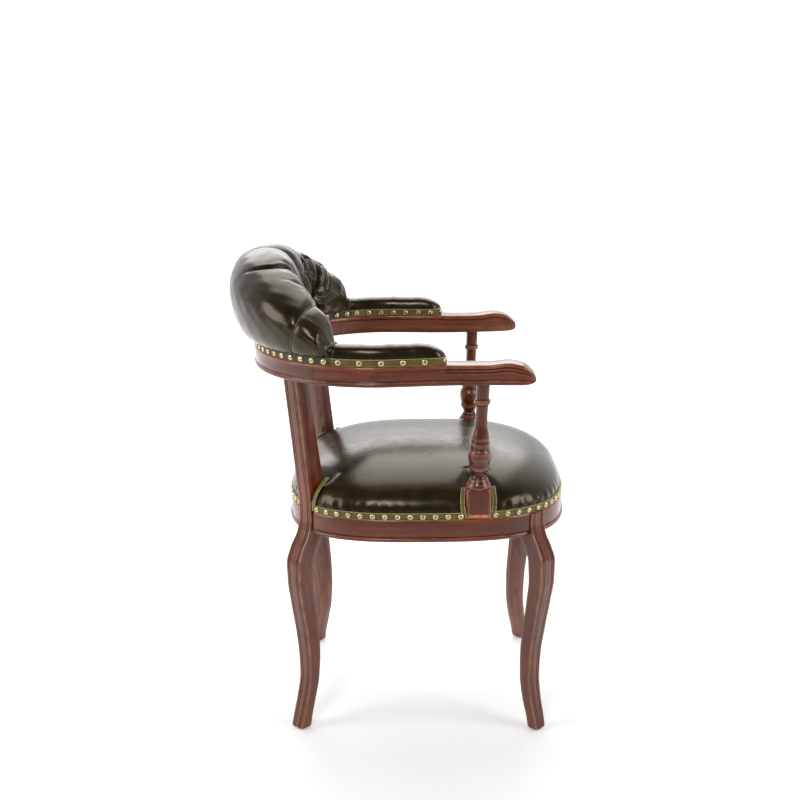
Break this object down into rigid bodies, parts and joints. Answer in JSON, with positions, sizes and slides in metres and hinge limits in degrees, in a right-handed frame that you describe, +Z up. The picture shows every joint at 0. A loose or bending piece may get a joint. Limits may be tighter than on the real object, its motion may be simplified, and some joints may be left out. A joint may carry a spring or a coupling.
{
  "type": "armchair",
  "caption": "Low-back armchair with a horseshoe arm bow, rolled tufted leather back, domed leather seat, turned arm posts and curved wooden legs.",
  "frame": {"origin": "bottom centre of the box round the whole chair, on the floor", "axes": "+Z up; the chair faces -Y; the sitter's left is +X"},
  "size_m": [0.5348, 0.5856, 0.827],
  "materials": {
    "mahogany": "red-brown stain with dark antiquing, satin lacquer",
    "leather": "very dark green-brown, glazed and glossy",
    "gimp": "flat olive upholstery gimp with corded edges",
    "nails": "domed nail heads, antique pale gold",
    "plywood": "plain plywood, unfinished",
    "beech": "plain beech, unfinished",
    "foam": "polyurethane foam, hidden under the leather",
    "cambric": "black woven dust cloth",
    "steel": "zinc plated fasteners",
    "nylon": "dark nylon floor glides"
  },
  "bodies": {
    "root": {"arm_dowel_left": "beech", "arm_dowel_right": "beech", "arm_gimp_left": "gimp", "arm_gimp_right": "gimp", "arm_left": "mahogany", "arm_pad_left": "leather", "arm_pad_right": "leather", "arm_post_left": "mahogany", "arm_post_right": "mahogany", "arm_post_screw_left": "steel", "arm_post_screw_right": "steel", "arm_right": "mahogany", "back_board": "plywood", "back_cover": "leather", "back_foam_inner": "foam", "back_foam_outer": "foam", "bow_gimp_inner": "gimp", "bow_gimp_outer": "gimp", "bow_rear": "mahogany", "bow_screw_left": "steel", "bow_screw_right": "steel", "corner_block_front_left": "beech", "corner_block_front_right": "beech", "corner_block_rear_left": "beech", "corner_block_rear_right": "beech", "corner_bolt_front_left": "steel", "corner_bolt_front_right": "steel", "corner_bolt_rear_left": "steel", "corner_bolt_rear_right": "steel", "dust_cover": "cambric", "front_leg_left": "mahogany", "front_leg_right": "mahogany", "glide_front_left": "nylon", "glide_front_right": "nylon", "glide_rear_left": "nylon", "glide_rear_right": "nylon", "rear_leg_left": "mahogany", "rear_leg_right": "mahogany", "seat_board": "plywood", "seat_cover": "leather", "seat_foam": "foam", "seat_gimp_front": "gimp", "seat_gimp_left": "gimp", "seat_gimp_rear": "gimp", "seat_gimp_right": "gimp", "seat_rail_front": "mahogany", "seat_rail_left": "mahogany", "seat_rail_rear": "mahogany", "seat_rail_right": "mahogany", "tuft_button_1": "leather", "tuft_button_2": "leather", "tuft_button_3": "leather", "tuft_button_4": "leather", "tuft_button_5": "leather", "tuft_button_6": "leather", "tuft_button_7": "leather"}
  },
  "joints": []
}
